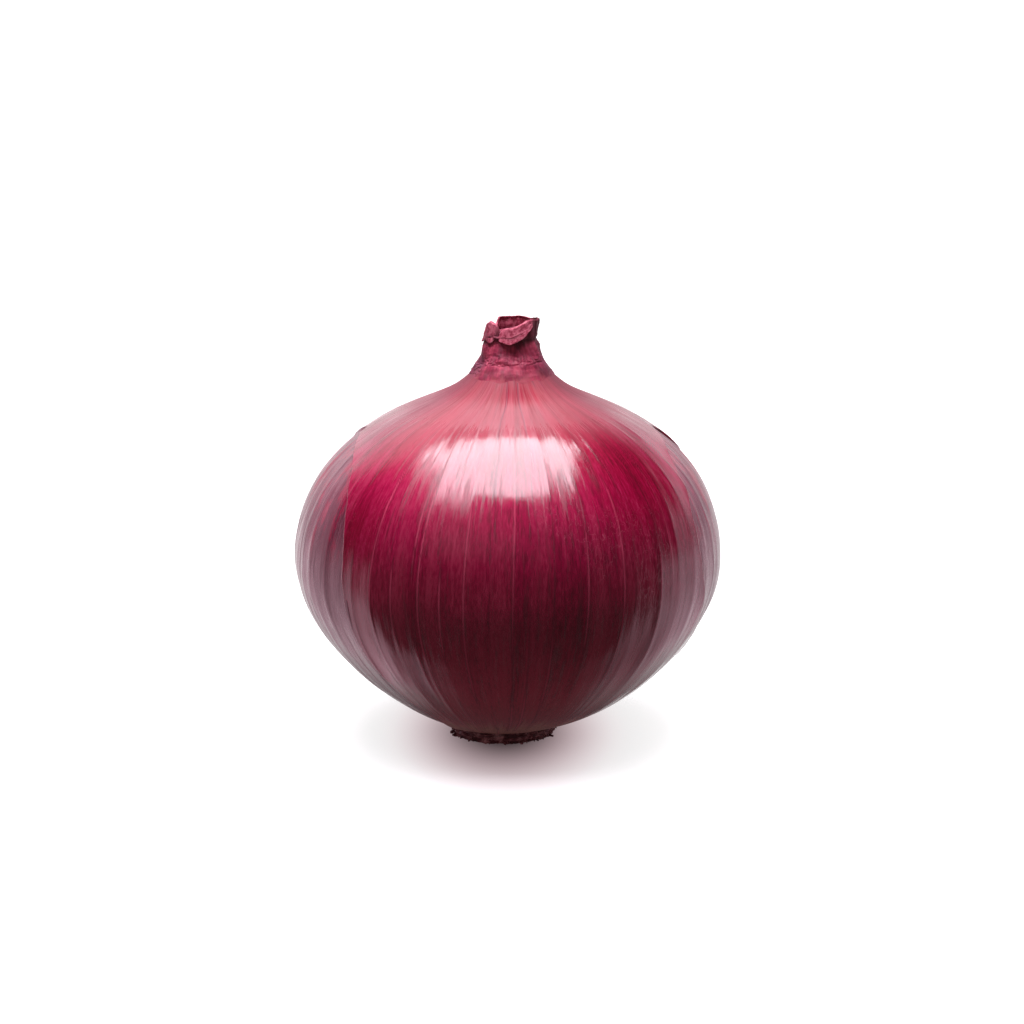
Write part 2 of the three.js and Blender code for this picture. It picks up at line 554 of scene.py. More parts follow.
def streaked_colour(n, p, colour):
    """Darker and lighter streaks, strips and fibres, calmer on the shoulder, with painted shade on
    its sides and back.
    """
    dark = n.mix(1.0, colour, DARK_STREAK, blend="MULTIPLY")
    light = n.mix(0.22, colour, PALE_STREAK)
    shade = n.plus(n.line(p.streak, 0.40, 0.70, -0.35, 0.55), n.times(p.tone, 0.25))
    fine = n.plus(n.line(p.fibre, 0.35, 0.65, -0.36, 0.36), n.line(p.hair, 0.35, 0.65, -0.45, 0.45))
    fine = n.plus(fine, n.line(p.speck, 0.35, 0.65, -0.42, 0.42))
    shade = n.plus(shade, n.times(fine, n.over(p.along, 55, 60, 1.0, 0.3)))
    shade = n.plus(shade, n.line(p.broad, 0.3, 0.7, -0.15, 0.15))
    shade = n.times(shade, n.over(p.along, 56, 61, 1.0, 0.45))
    colour = n.mix(n.line(shade, 0, 1, 0.0, 0.75), colour, dark)
    colour = n.mix(n.line(shade, 0.0, -0.8, 0.0, 0.5), colour, light)
    # The deep patches are deepened again: the skin's own colour, and on the right partly painted
    # shade.
    colour = n.tint(n.times(p.deep, 0.85), colour, DEEPEN_AND_SHADE)

    # Painted shade: the sides and the back of the shoulder are darker than its front, standing in
    # for light that falls mostly on the front.
    painted_side_shade = n.times(n.span(p.back, -0.80, -0.25), n.over(p.along, 48, 57))
    return n.tint(painted_side_shade, colour, SIDE_SHADE)


def marked_colour(n, p, colour):
    """Veins with a dark line beside them, painted pale on the belly as a highlight, seams, dashes
    under the shoulder, and crackle.
    """
    flank = n.times(n.span(p.vein, 0.02, 0.10), n.span(p.vein, 0.42, 0.16))
    colour = n.tint(n.times(flank, n.over(p.along, 52, 58, 0.55, 0.2)), colour, VEIN_EDGE)
    # On the belly the veins are painted pale, a painted highlight where the raised vein catches
    # light; on the shoulder they are dark.
    vein = n.times(n.times(p.vein, p.plain), n.over(p.along, 54, 60, 0.58, 0.30))
    colour = n.mix(vein, colour, n.mix(n.over(p.along, 50, 57), PALE_VEIN_HIGHLIGHT, DARK_VEIN))
    colour = n.mix(n.times(p.seam, n.over(p.along, 40, 52, 0.15, 0.8)), colour, SEAM)

    dash = n.noise(n.stretched(p.grain, 55.0, 26.0, 9.0), roughness=0.65)
    where = n.times(n.over(p.along, 34, 41), n.over(p.along, 60, 50))
    dash = n.times(n.times(n.span(dash, 0.50, 0.66), where), n.span(p.streak, 0.35, 0.6))
    colour = n.mix(n.times(dash, n.times(p.plain, 0.75)), colour, DASH)
    return n.mix(n.times(p.crackle, 0.30), colour, CRACKLE)


def under_colour(n, p, colour):
    """The under skin: the same colour, darker and duller, with crimson showing in places."""
    colour = n.mix(0.70, colour, UNDER_SKIN)
    mottle = n.noise(n.stretched(p.grain, 14.0, 12.0, 4.0), detail=4.0, roughness=0.65)
    where = n.times(n.over(p.along, 34, 42), n.over(p.along, 58, 52))
    mottle = n.times(n.span(mottle, 0.50, 0.60), where)
    return n.mix(n.times(mottle, 0.8), colour, UNDER_MOTTLE)


def skin_roughness(n, p, under):
    """Glossy on the bulb, duller in the fibres, near the roots and towards the neck."""
    rough = n.times(n.line(p.hair, 0.35, 0.65, 0.08, 0.22), n.span(p.deep, 0, 1, 1, 0.45))
    smear = n.times(n.span(p.fibre, 0.50, 0.64, 0.0, 0.17), n.span(p.deep, 0, 1, 1, 0.2))
    haze = n.times(n.spot(p.grain, -27, 50, 24, 11), n.span(p.streak, 0.38, 0.60, 0.04, 0.24))
    smear = n.plus(smear, haze)
    high = n.plus(n.over(p.along, 58.0, 61.0, 0.0, 0.25), n.over(p.along, 61.0, 63.5, 0.0, 0.30))
    high = n.plus(high, n.times(p.blush, 0.15))
    low = n.over(p.along, 9.0, 4.0, 0.12 if under else 0.0, 0.40)
    return n.plus(n.plus(rough, smear), n.plus(high, low))


def skin_material(name, under=False):
    """Glossy dry skin with lengthwise streaks and veins."""
    material, n, shader = new_material(name)
    p = skin_patterns(n)
    colour = marked_colour(n, p, streaked_colour(n, p, banded_colour(n, p)))
    if under:
        colour = under_colour(n, p, colour)
    n.feed(shader.inputs["Base Color"], colour)
    n.feed(shader.inputs["Roughness"], skin_roughness(n, p, under))
    shader.inputs["IOR"].default_value = 1.47
    relief = n.plus(n.times(p.fibre, 0.45), n.times(p.hair, 0.30))
    relief = n.plus(n.plus(relief, n.times(p.speck, 0.15)), n.times(p.crackle, 0.25))
    n.bump(shader, relief, 0.45, 0.09 * MM)
    return material


# Colours of the withered neck and of the root plate, by the value of the noise that spreads them.
NECK_COLOURS = (
    (0.38, (0.095, 0.004, 0.018)),
    (0.50, (0.23, 0.011, 0.041)),
    (0.62, (0.36, 0.030, 0.068)),
)
ROOT_COLOURS = (
    (0.32, (0.060, 0.008, 0.012)),
    (0.50, (0.170, 0.036, 0.046)),
    (0.64, (0.420, 0.190, 0.200)),
)
NECK_LIT = (0.42, 0.085, 0.130, 1)
NECK_LIT_SPECK = (0.24, 0.018, 0.045, 1)
NECK_CREASE = (0.46, 0.120, 0.165, 1)
NECK_SPECK = (0.08, 0.004, 0.014, 1)
NECK_PAINTED_SHADE = (0.045, 0.002, 0.008, 1)
NECK_HEM = (0.275, 0.034, 0.054, 1)
NECK_FLARE = (0.72, 0.62, 0.68, 1)
NECK_SIDE_SHADE = (0.55, 0.75, 0.80, 1)
ROOT_LAYER = (0.040, 0.004, 0.007, 1)


def dry_neck_material():
    """Withered papery leaf bases: mottled crimson, paler on the creases and on the folded-over
    side, with painted light inside the rim at the back and painted shade in the hollows.
    """
    material, n, shader = new_material("dry_neck")
    place = n.add("ShaderNodeTexCoord").outputs["Object"]
    grain = n.attribute("grain")
    crease, pale_and_painted_light, hollow = n.split(n.attribute("marks"))
    blotch = n.noise(place, scale=420.0)
    speck = n.noise(place, detail=4.0, roughness=0.65, scale=1500.0)
    streak = n.noise(n.stretched(grain, 9.0, 5.0, 2.0), roughness=0.6)
    colour = n.ramp(n.plus(n.times(blotch, 0.5), n.times(streak, 0.5)), NECK_COLOURS)
    # The pale mark gives the lit colour: on the folded-over side, and as painted light inside the
    # rim at the back.
    lit = n.mix(n.span(speck, 0.40, 0.60), NECK_LIT, NECK_LIT_SPECK)
    colour = n.mix(n.times(pale_and_painted_light, n.span(blotch, 0.3, 0.6, 0.65, 1.0)), colour, lit)
    colour = n.mix(n.times(crease, 0.35), colour, NECK_CREASE)
    colour = n.mix(n.span(speck, 0.54, 0.72, 0.0, 0.5), colour, NECK_SPECK)
    # Painted shade in the waist, on the bare wall, in the gap beside the flap and in the pleats'
    # valleys.
    colour = n.mix(hollow, colour, NECK_PAINTED_SHADE)

    # At its lower edge it has the colour of the skin.
    height = n.split(place)[2]
    level = n.plus(height, n.line(streak, 0.3, 0.7, -1.6 * MM, 1.6 * MM))
    colour = n.mix(n.span(level, 65.5 * MM, 67.0 * MM), NECK_HEM, colour)
    flared = n.span(height, 65.8 * MM, 66.8 * MM)
    flared = n.times(flared, n.span(height, 68.2 * MM, 67.0 * MM))
    colour = n.tint(flared, colour, NECK_FLARE)
    # Painted shade: its sides and back are darker than its front, standing in for light that falls
    # mostly on the front.
    painted_side_shade = n.span(n.split(grain)[1], -0.85, -0.20)
    painted_side_shade = n.times(painted_side_shade, n.span(height, 72.0 * MM, 69.0 * MM))
    colour = n.tint(painted_side_shade, colour, NECK_SIDE_SHADE)
    n.feed(shader.inputs["Base Color"], colour)
    n.feed(shader.inputs["Roughness"], n.span(speck, 0.3, 0.7, 0.55, 0.8))
    shader.inputs["Specular IOR Level"].default_value = 0.3
    n.bump(shader, speck, 0.5, 0.08 * MM)
    return material


def root_material():
    """Corky root plate and the stubs of dried roots."""
    material, n, shader = new_material("root_plate")
    place = n.add("ShaderNodeTexCoord").outputs["Object"]
    grains = n.noise(place, detail=4.0, roughness=0.6, scale=900.0)
    flat = n.add("ShaderNodeMapping", {"Vector": place, "Scale": (1.0, 1.0, 6.0)}).outputs[0]
    layers = n.noise(flat, roughness=0.6, scale=380.0)
    colour = n.ramp(grains, ROOT_COLOURS)
    colour = n.mix(n.span(layers, 0.48, 0.66, 0.0, 0.8), colour, ROOT_LAYER)
    n.feed(shader.inputs["Base Color"], colour)
    n.feed(shader.inputs["Roughness"], n.span(grains, 0.3, 0.7, 0.6, 0.9))
    n.bump(shader, grains, 0.6, 0.15 * MM)
    return material


# -------- skins

# Where the outer skin has split and shows the skin under it: the angles in degrees of the front
# and back panels' edges, by share of the outline.
LEFT_OF_FRONT = (
    (0.00, -36), (0.12, -40), (0.22, -43), (0.30, -46), (0.43, -48.5), (0.53, -50.5),
    (0.60, -56), (0.655, -65), (0.68, -74), (0.715, -95),
)
LEFT_OF_BACK = (
    (0.00, -112), (0.10, -108), (0.20, -116), (0.28, -113), (0.38, -124), (0.47, -120),
    (0.55, -122), (0.62, -114), (0.67, -108), (0.715, -95),
)
RIGHT_OF_FRONT = (
    (0.20, 95), (0.24, 84), (0.29, 76), (0.33, 71), (0.38, 67.5), (0.45, 63.5), (0.50, 62.5),
    (0.55, 62.5), (0.60, 66.5), (0.64, 69), (0.68, 76), (0.72, 95),
)
RIGHT_OF_BACK = (
    (0.20, 95), (0.26, 97), (0.33, 104), (0.39, 101), (0.47, 110), (0.54, 105), (0.61, 109),
    (0.66, 101), (0.69, 99), (0.72, 95),
)

SKIN_TOP = along_of(67.2 * MM)
OUTER_LIFT = 0.20 * MM
LIP_HEIGHT = 0.24 * MM
LIP_REACH = 1.5 * MM
FAR_EDGE_NICKS = 0.4 * MM


def edge_angles(points, along, seed, ragged=0.16 * MM):
    """The angle of a torn edge at each height, with small nicks where the skin is open."""
    low, high = points[0][0], points[-1][0]
    angle = through(points, along) * DEG
    radius = outline_at(along)[0]
    nicks = lattice(along * 0, along, 1, 34, seed)
    nicks = nicks + 0.45 * lattice(along * 0, along, 1, 90, seed + 1)
    opened = smooth(low - 1e-6, low + 0.04, along) * (1 - smooth(high - 0.04, high, along))
    return angle + ragged * nicks / radius * opened


def under_skin(material):
    """The skin below the outer one, which shows where that has split."""
    rows, columns = 150, 620
    along = np.linspace(0, SKIN_TOP, rows)[:, None]
    angle = np.linspace(-math.pi, math.pi, columns, endpoint=False)[None, :]
    lift, marks = skin_relief(angle, along, vein_angles(64, 41, (-63, -72, 78)), 42, depth=1.5)
    # Where the outer skin covers it, it lies lower.
    inside = []
    for low, high in ((LEFT_OF_BACK, LEFT_OF_FRONT), (RIGHT_OF_FRONT, RIGHT_OF_BACK)):
        past_low = angle - edge_angles(low, along, 0, ragged=0)
        inside.append(np.minimum(past_low, edge_angles(high, along, 0, ragged=0) - angle))
    covered = smooth(0, 3 * MM, -np.max(inside, axis=0) * outline_at(along)[0])
    places = on_skin(angle, along, lift - 0.50 * MM * covered)
    layers = {"grain": grain_of(angle, along), "marks": marks}
    return add_object("under_skin", new_mesh("under_skin", places, layers), material)


def outer_skin(material):
    """The outermost skin: a front and a back panel, joined above and below the two splits."""
    rows, front_columns, back_columns = 170, 400, 160
    along = np.linspace(0, SKIN_TOP, rows)
    left = edge_angles(LEFT_OF_FRONT, along, 11)
    right = edge_angles(RIGHT_OF_FRONT, along, 13)
    back_left = edge_angles(LEFT_OF_BACK, along, 15, FAR_EDGE_NICKS) + TURN
    back_right = edge_angles(RIGHT_OF_BACK, along, 17, FAR_EDGE_NICKS)
    across_front, across_back = np.linspace(0, 1, front_columns), np.linspace(0, 1, back_columns)
    front = left[:, None] + (right - left)[:, None] * across_front
    back = back_right[:, None] + (back_left - back_right)[:, None] * across_back

    # Each panel's edges have a second column, which turns down to the skin below.
    angle = np.hstack([front[:, :1], front, front[:, -1:], back[:, :1], back, back[:, -1:]])
    shares = np.repeat(along[:, None], angle.shape[1], 1)
    radius = outline_at(along)[0]
    right_gap = (back_right - right) * radius
    left_gap = (left + TURN - back_left) * radius

    # How far each place is from the nearest torn edge.
    torn = ((left, left_gap), (back_left, left_gap), (right, right_gap), (back_right, right_gap))
    step = np.linspace(0, rows - 1, rows * 6)
    edge_points = []
    for edge, gap in torn:
        gap_there, a, s = (np.interp(step, np.arange(rows), x) for x in (gap, edge, along))
        edge_points.append(on_skin(a, s, 0 * a)[gap_there > 0.6 * MM])
    edge_points = np.vstack(edge_points)
    tree = KDTree(len(edge_points))
    for i, p in enumerate(edge_points):
        tree.insert(p, i)
    tree.balance()
    plain = on_skin(angle, shares, 0 * angle)
    away = np.array([tree.find(p)[2] for p in plain.reshape(-1, 3)]).reshape(angle.shape)

    # How far the split beside each place is open.
    last = angle.shape[1]
    first_back = front_columns + 2
    right_open, left_open = (smooth(1 * MM, 6 * MM, gap)[:, None] for gap in (right_gap, left_gap))
    opened = np.repeat(right_open, last, 1)
    opened[:, : front_columns // 2] = left_open
    opened[:, first_back + back_columns // 2 :] = left_open

    veins = vein_angles(68, 21, (-45, -38, 12, 21, 44))
    relief, marks = skin_relief(angle, shares, veins, 22, seams=(-5, 7.5, 98, 176))
    curl = (0.6 + 0.4 * lattice(angle, shares, 30, 30, 23)) * opened
    sunk = smooth(along_of(64.5 * MM), along_of(67.0 * MM), shares)
    lift = relief + OUTER_LIFT * (1 - 0.9 * sunk) + LIP_HEIGHT * curl * np.exp(-away / LIP_REACH)
    for column in (0, first_back - 1, first_back, last - 1):
        lift[:, column] -= (OUTER_LIFT + LIP_HEIGHT) * opened[:, column]
    places = on_skin(angle, shares, lift)

    # There is no face between the panels where they are apart.
    leave_out = np.zeros((rows - 1, last), bool)
    for column, gap in ((first_back - 1, right_gap), (last - 1, left_gap)):
        apart = gap > 0.02 * MM
        leave_out[:, column] = apart[:-1] | apart[1:]
    layers = {"grain": grain_of(angle, shares), "marks": marks}
    mesh = new_mesh("outer_skin", places, layers, leave_out=leave_out)
    return add_object("outer_skin", mesh, material)


# -------- neck

# The cut end of the neck, round the axis in degrees from the front: the height of its rim, how
# far the rim folds over outwards, and the radius of the rim, all in millimetres.
RIM_HEIGHT = (
    (-180, 75.4), (-156, 75.5), (-150, 75.4), (-145, 74.6), (-140, 74.3), (-118, 74.4),
    (-96, 74.6), (-78, 74.8), (-64, 75.3), (-56, 75.1), (-45, 74.6), (-38, 73.6), (-30, 73.8),
    (-14, 74.3), (3, 74.6), (25, 75.2), (42, 75.8), (54, 76.0), (70, 75.8), (90, 75.8),
    (112, 75.7), (130, 75.3), (150, 75.5), (180, 75.4),
)
FOLD_LENGTH = (
    (-180, 0.2), (-132, 0.2), (-118, 1.1), (-104, 2.5), (-84, 2.9), (-62, 3.1), (-46, 2.5),
    (-38, 0.6), (-31, 1.1), (-22, 1.7), (-8, 2.5), (8, 2.3), (22, 2.0), (36, 1.5), (48, 0.9),
    (58, 0.3), (68, 0.15), (180, 0.2),
)
RIM_RADIUS = (
    (-180, 4.6), (-150, 4.3), (-130, 3.9), (-90, 3.7), (-60, 3.6), (-38, 3.2), (-25, 3.6),
    (0, 3.9), (40, 4.1), (80, 4.5), (120, 4.4), (150, 4.6), (180, 4.6),
)
WAIST_HEIGHT = 72.7 * MM
WAIST_RADIUS = 4.25 * MM
SLEEVE_START = along_of(64.6 * MM)
SLEEVE_END = along_of(WAIST_HEIGHT)
PAPER = 0.12 * MM


def dry_neck(material):
    """The withered neck: a crumpled sleeve, a waist, and a rim folded over at the front."""
    columns = 260
    angle = np.linspace(-math.pi, math.pi, columns, endpoint=False)[None, :]
    degrees = angle / DEG
    rim = through(RIM_HEIGHT, degrees) * MM + 0.10 * MM * lattice(angle, angle * 0, 26, 1, 61)
    fold = through(FOLD_LENGTH, degrees) * MM + 0.08 * MM * lattice(angle, angle * 0, 34, 1, 62)
    rim_radius = through(RIM_RADIUS, degrees) * MM

    # The sleeve rises out of the skin at its ragged lower edge, then lies close to the outline.
    up = np.linspace(0, 1, 90)[:, None]
    radius, height, out, rise = outline_at(SLEEVE_START + (SLEEVE_END - SLEEVE_START) * up)
    radius = radius + (WAIST_RADIUS - radius[-1]) * smooth(0.78, 1.0, up)
    ragged = 0.05 * lattice(angle, up, 22, 3, 63) + 0.04 * lattice(angle, up, 60, 4, 73)
    emerge = smooth(0.02, 0.30, up + ragged)
    lift = (-0.16 + 0.34 * emerge - 0.30 * smooth(0.34, 0.62, up)) * MM
    # It is fuller on the left, where the rim hangs over it.
    full = 0.45 * MM * peak(degrees + 88, 42)
    sleeve = (radius + lift * out + full * smooth(0.55, 0.95, up), height + lift * rise)

    # The wall goes up to the rim, rolls over it and hangs down outside.
    wall_up = np.linspace(0, 1, 26)[1:, None]
    wall_foot = WAIST_HEIGHT + 0.2 * MM
    wall_radius = WAIST_RADIUS + 0.2 * MM + (rim_radius - WAIST_RADIUS) * wall_up
    wall = (wall_radius + full * (1 - wall_up), wall_foot + (rim - wall_foot) * wall_up)
    roll_rows, hang_rows = 7, 21
    roll = np.minimum(0.34 * MM, fold * 0.25)
    turn = np.linspace(0, math.pi, roll_rows + 1)[1:, None]
    over = (rim_radius + roll * (1 - np.cos(turn)), rim + roll * np.sin(turn))
    hang = np.linspace(0, 1, hang_rows + 1)[1:, None]
    flare = 0.22 * hang + 0.10 * hang**2
    outside = (rim_radius + 2 * roll + flare * fold, rim - hang * fold)
    parts = zip(sleeve, wall, over, outside)
    radius, height = (np.vstack([x + 0 * angle for x in part]) for part in parts)

    rows = len(radius)
    share = np.linspace(0, 1, rows)[:, None]
    sheet = smooth(0.55, 0.72, share)
    dents = lattice(angle, share, 11, 9, 64)
    ribs = lattice(angle, share, 30, 6, 65)
    gathers = lattice(angle, share, 52, 5, 74) * peak(share - 0.50, 0.10) * (1 - sheet)
    pleats = 0.5 - np.abs(lattice(angle, share, 46, 7, 66))
    flap = smooth(-34, -26, degrees) * smooth(75, 60, degrees)
    pleats = pleats * (1 - 0.75 * flap)
    wobble, sway = lattice(angle, share, 26, 22, 75), lattice(angle, share, 26, 22, 76)
    across = 0.25 - np.abs(lattice(angle + 0.16 * wobble, share + 0.03 * sway, 44, 34, 67))
    other = 0.25 - np.abs(lattice(angle - 0.14 * sway, share + 0.03 * wobble, 70, 46, 69))
    # Crumples are deepest near the lower edge, folds above them.
    low = smooth(65.4 * MM, 66.4 * MM, height) * smooth(70.2 * MM, 67.6 * MM, height)
    crumpled = smooth(-0.6, 0.2, lattice(angle, share, 9, 8, 70))
    crumpled = crumpled * (0.35 + 0.95 * low) * (1 - sheet)
    slant = 0.30 - np.abs(lattice(angle + 0.9 * share, share, 15, 4, 77))
    folds = smooth(67.0 * MM, 68.6 * MM, height) * (1 - sheet) * slant
    grown = smooth(0.02, 0.12, share)
    push = 0.15 * dents + 0.09 * ribs + 0.20 * gathers + 0.42 * folds + 0.38 * pleats * sheet
    push = push + crumpled * (0.22 * across + 0.18 * other)
    push = push * MM * grown
    radius = radius + push * (1 - 0.55 * sheet * (share > 0.93))
    height = height + 0.07 * MM * lattice(angle, share, 30, 30, 68) * grown
    places = round_axis(angle, radius, height)

    # Marks: creases and the folded-over side are pale, and the inside of the rim at the back gets
    # painted light, where little light from above reaches it.
    crease = smooth(0.08, 0.25, np.maximum(across, other)) * crumpled
    crease = crease + smooth(0.30, 0.5, pleats) * sheet
    outside_rows = np.zeros((rows, 1))
    outside_rows[-hang_rows - roll_rows :] = 1
    folded = outside_rows * smooth(0.4 * MM, 1.2 * MM, fold)
    pale_and_painted_light = np.maximum(folded, 0.9 * (share > 0.66) * smooth(105, 130, np.abs(degrees)))
    # Painted shade: the waist, the bare wall on the right, the gap between the left lobe and the
    # front flap, and the valleys of the lobe's pleats are darkened, where shade falls.
    waist = peak(height - WAIST_HEIGHT, 0.7 * MM) * (1 - outside_rows)
    bare = (share > 0.64) * (1 - folded) * smooth(40, 60, degrees) * smooth(125, 105, degrees)
    gap = peak(degrees + 38, 6) * sheet
    valleys = 0.8 * smooth(0.22, 0.02, pleats) * sheet * (degrees < -40) * (degrees > -130)
    dark = np.maximum(np.maximum(waist, bare), np.maximum(gap, valleys))
    layers = {"grain": grain_of(angle, share), "marks": stacked(crease, pale_and_painted_light, 0.75 * dark)}
    piece = add_object("dry_neck", new_mesh("dry_neck", places, layers), material)
    thicken = piece.modifiers.new("paper", "SOLIDIFY")
    thicken.thickness = PAPER
    thicken.offset = 0.0
    return piece


def neck_core(material):
    """The crumpled leaf ends inside the neck, darkened by painted shade, most near the neck's wall.
    """
    rows, columns = 26, 90
    angle = np.linspace(-math.pi, math.pi, columns, endpoint=False)[None, :]
    out = np.linspace(0.004, 1, rows)[:, None]
    bumps = lattice(angle, out, 7, 5, 71) + 0.6 * (0.5 - np.abs(lattice(angle, out, 14, 8, 72)))
    height = 73.7 * MM + (0.45 * bumps - 0.5 * out**2) * MM * smooth(0.0, 0.3, out)
    radius = out * 4.15 * MM + 0 * angle
    places = round_axis(angle, radius, height)[:, ::-1]
    # Painted shade: the third mark darkens the core, more towards the neck's wall.
    marks = stacked(smooth(0.3, 0.9, bumps), 0 * angle, 0.35 + 0.3 * out)
    layers = {"grain": grain_of(angle, out)[:, ::-1], "marks": marks[:, ::-1]}
    return add_object("neck_core", new_mesh("neck_core", places, layers), material)


# -------- root plate


# The plate's outline as (radius, height) in millimetres, from the middle of its flat underside.
PLATE_OUTLINE = (
    (0.02, 0.0), (8.3, 0.0), (8.8, 0.12), (9.0, 0.6), (9.0, 1.4), (8.8, 2.5), (7.8, 3.4),
)


def root_plate(material):
    """The corky disc that the onion stands on, in ragged layers."""
    rows, columns = 46, 240
    angle = np.linspace(-math.pi, math.pi, columns, endpoint=False)[None, :]
    outline = np.array(PLATE_OUTLINE) * MM
    lengths = path_lengths(outline)
    underside = np.linspace(0, lengths[1], 12)[:-1]
    side = np.linspace(lengths[1], lengths[-1], rows - len(underside))
    at = np.concatenate([underside, side])
    radius, height = (np.interp(at, lengths, x)[:, None] for x in outline.T)
    rim = smooth(lengths[1] * 0.94, lengths[1] * 1.04, at[:, None])
    up = np.linspace(0, 1, rows)[:, None]
    layers = lattice(angle, up, 22, 22, 81) + 0.8 * lattice(angle, up, 60, 40, 82)
    flakes = 0.5 - np.abs(lattice(angle, up, 34, 16, 83))
    radius = radius + (0.22 * layers + 0.40 * flakes) * MM * rim
    height = np.maximum(height + 0.12 * MM * lattice(angle, up, 50, 20, 84) * rim, 0)
    places = round_axis(angle, radius, height) - np.array((0, ROOT_FORWARD, 0))
    return add_object("root_plate", new_mesh("root_plate", places), material)


def root_stubs(material):
    """Short, curled ends of the dried roots round the lower rim of the plate."""
    rng = np.random.default_rng(91)
    count, rings, sides = 110, 5, 7
    shape = bmesh.new()
    for k in range(count):
        angle = TURN * (k + rng.uniform(-0.45, 0.45)) / count
        length, thick = rng.uniform(0.4, 1.3) * MM, rng.uniform(0.16, 0.40) * MM
        start, height = rng.uniform(8.0, 8.7) * MM, rng.uniform(0.15, 0.9) * MM
        swing, droop = rng.uniform(-0.9, 0.9), rng.uniform(-0.7, 0.2)
        outward = Vector((math.sin(angle), -math.cos(angle), 0))
        sideways = Vector((math.cos(angle), math.sin(angle), 0))
        centre = Vector((ROOT_OFFSET, -ROOT_FORWARD, height)) + outward * start
        loops = []
        for i in range(rings):
            t = i / (rings - 1)
            here = centre + outward * length * t + sideways * length * 0.5 * swing * t * t
            here.z += droop * length * t * t
            size = thick * (1 - 0.35 * t**2)
            here.z = max(here.z, size)
            ring = []
            for j in range(sides):
                turn = TURN * j / sides
                bump = 1 + rng.uniform(-0.35, 0.35)
                rim = sideways * math.cos(turn) + Vector((0, 0, 1)) * math.sin(turn)
                ring.append(shape.verts.new(here + size * bump * rim))
            loops.append(ring)
        for low, high in zip(loops, loops[1:]):
            for j in range(sides):
                shape.faces.new((low[j], low[(j + 1) % sides], high[(j + 1) % sides], high[j]))
        shape.faces.new(loops[-1])
        shape.faces.new(loops[0][::-1])
    bmesh.ops.recalc_face_normals(shape, faces=shape.faces)
    mesh = bpy.data.meshes.new("root_stubs")
    shape.to_mesh(mesh)
    shape.free()
    mesh.shade_smooth()
    return add_object("root_stubs", mesh, material)


# -------- camera, floor and light

WHITE = (1, 1, 1, 1)
# In reflections: the table beside and behind the onion, the dark of the room, and the wall.
TABLE_BESIDE = (1.62, 1.04, 1.24, 1)
TABLE_BEHIND = (1.30, 1.27, 1.28, 1)
ROOM = (0.11, 0.075, 0.085, 1)
WALL = (1.75, 1.68, 1.75, 1)
# In soft light: the table below, which the onion reddens, and the room above.
SOFT_BELOW = (0.200, 0.118, 0.130, 1)
SOFT_ABOVE = (0.13, 0.12, 0.12, 1)


def add_camera():
    """A long lens, a little above the onion, as far off as in a product picture."""
    distance, elevation = 700 * MM, 13 * DEG
    middle = Vector((0, 0, 36.6 * MM))
    aim = middle + Vector((0.76 * MM, 0, 4.03 * MM))
    data = bpy.data.cameras.new("camera")
    data.lens = 136.8
    data.sensor_width = 36.0
    data.clip_start = 0.01
    camera = bpy.data.objects.new("camera", data)
    bpy.context.scene.collection.objects.link(camera)
    camera.location = middle + distance * Vector((0, -math.cos(elevation), math.sin(elevation)))
    camera.rotation_euler = (aim - camera.location).to_track_quat("-Z", "Y").to_euler()
    bpy.context.scene.camera = camera


def add_floor():
    """A grey floor that glows pale away from the onion, to meet the backdrop; round the onion the
    glow fades into a painted shadow.
    """
    bpy.ops.mesh.primitive_plane_add(size=12)
    floor = bpy.context.object
    floor.name = "floor"
    material, n, shader = new_material("floor")
    place = n.add("ShaderNodeNewGeometry").outputs["Position"]
    # Its painted shadow is an oval round the root plate, where the glow fades.
    narrow, left = 2.05, 0.8 * MM
    inputs = {"Vector": place, "Scale": (narrow, 1, 1), "Location": (narrow * left, 0, 0)}
    far = n.length(n.add("ShaderNodeMapping", inputs).outputs[0])
    grains = n.noise(place, scale=40.0)
    grey = n.mix(grains, (0.24, 0.21, 0.22, 1), (0.26, 0.23, 0.24, 1))
    n.feed(shader.inputs["Base Color"], grey)
    shader.inputs["Roughness"].default_value = 0.8
    shader.inputs["Specular IOR Level"].default_value = 0.1
    # Painted light: near the onion the glow is pink, a painted reddish bounce from it.
    glow_colour = n.mix(n.span(far, 14 * MM, 50 * MM), (1.0, 0.76, 0.81, 1), WHITE)
    n.feed(shader.inputs["Emission Color"], glow_colour)
    glow = n.plus(n.span(far, 2 * MM, 45 * MM, 0.0, 0.80), n.span(far, 36 * MM, 90 * MM, 0.0, 0.3))
    n.feed(shader.inputs["Emission Strength"], glow)
    # In the onion's gloss only its painted shadow shows, as a dark glow; farther out the table of
    # the surroundings does.
    shade = n.add("ShaderNodeEmission", {"Color": (0.10, 0.065, 0.075, 1)})
    clear = n.add("ShaderNodeBsdfTransparent")
    inputs = {0: n.span(far, 8 * MM, 52 * MM), 1: shade.outputs[0], 2: clear.outputs[0]}
    mirrored = n.add("ShaderNodeMixShader", inputs)
    glossy = n.add("ShaderNodeLightPath").outputs["Is Glossy Ray"]
    inputs = {0: glossy, 1: shader.outputs[0], 2: mirrored.outputs[0]}
    seen = n.add("ShaderNodeMixShader", inputs)
    output = material.node_tree.nodes["Material Output"]
    n.feed(output.inputs["Surface"], seen.outputs[0])
    floor.data.materials.append(material)
    floor.visible_diffuse = False


def add_softbox(name, place, aim, width, height, watts):
    data = bpy.data.lights.new(name, "AREA")
    data.shape = "RECTANGLE"
    data.size = width
    data.size_y = height
    data.energy = watts
    light = bpy.data.objects.new(name, data)
    bpy.context.scene.collection.objects.link(light)
    light.location = place
    light.rotation_euler = (Vector(aim) - Vector(place)).to_track_quat("-Z", "Y").to_euler()
    return light


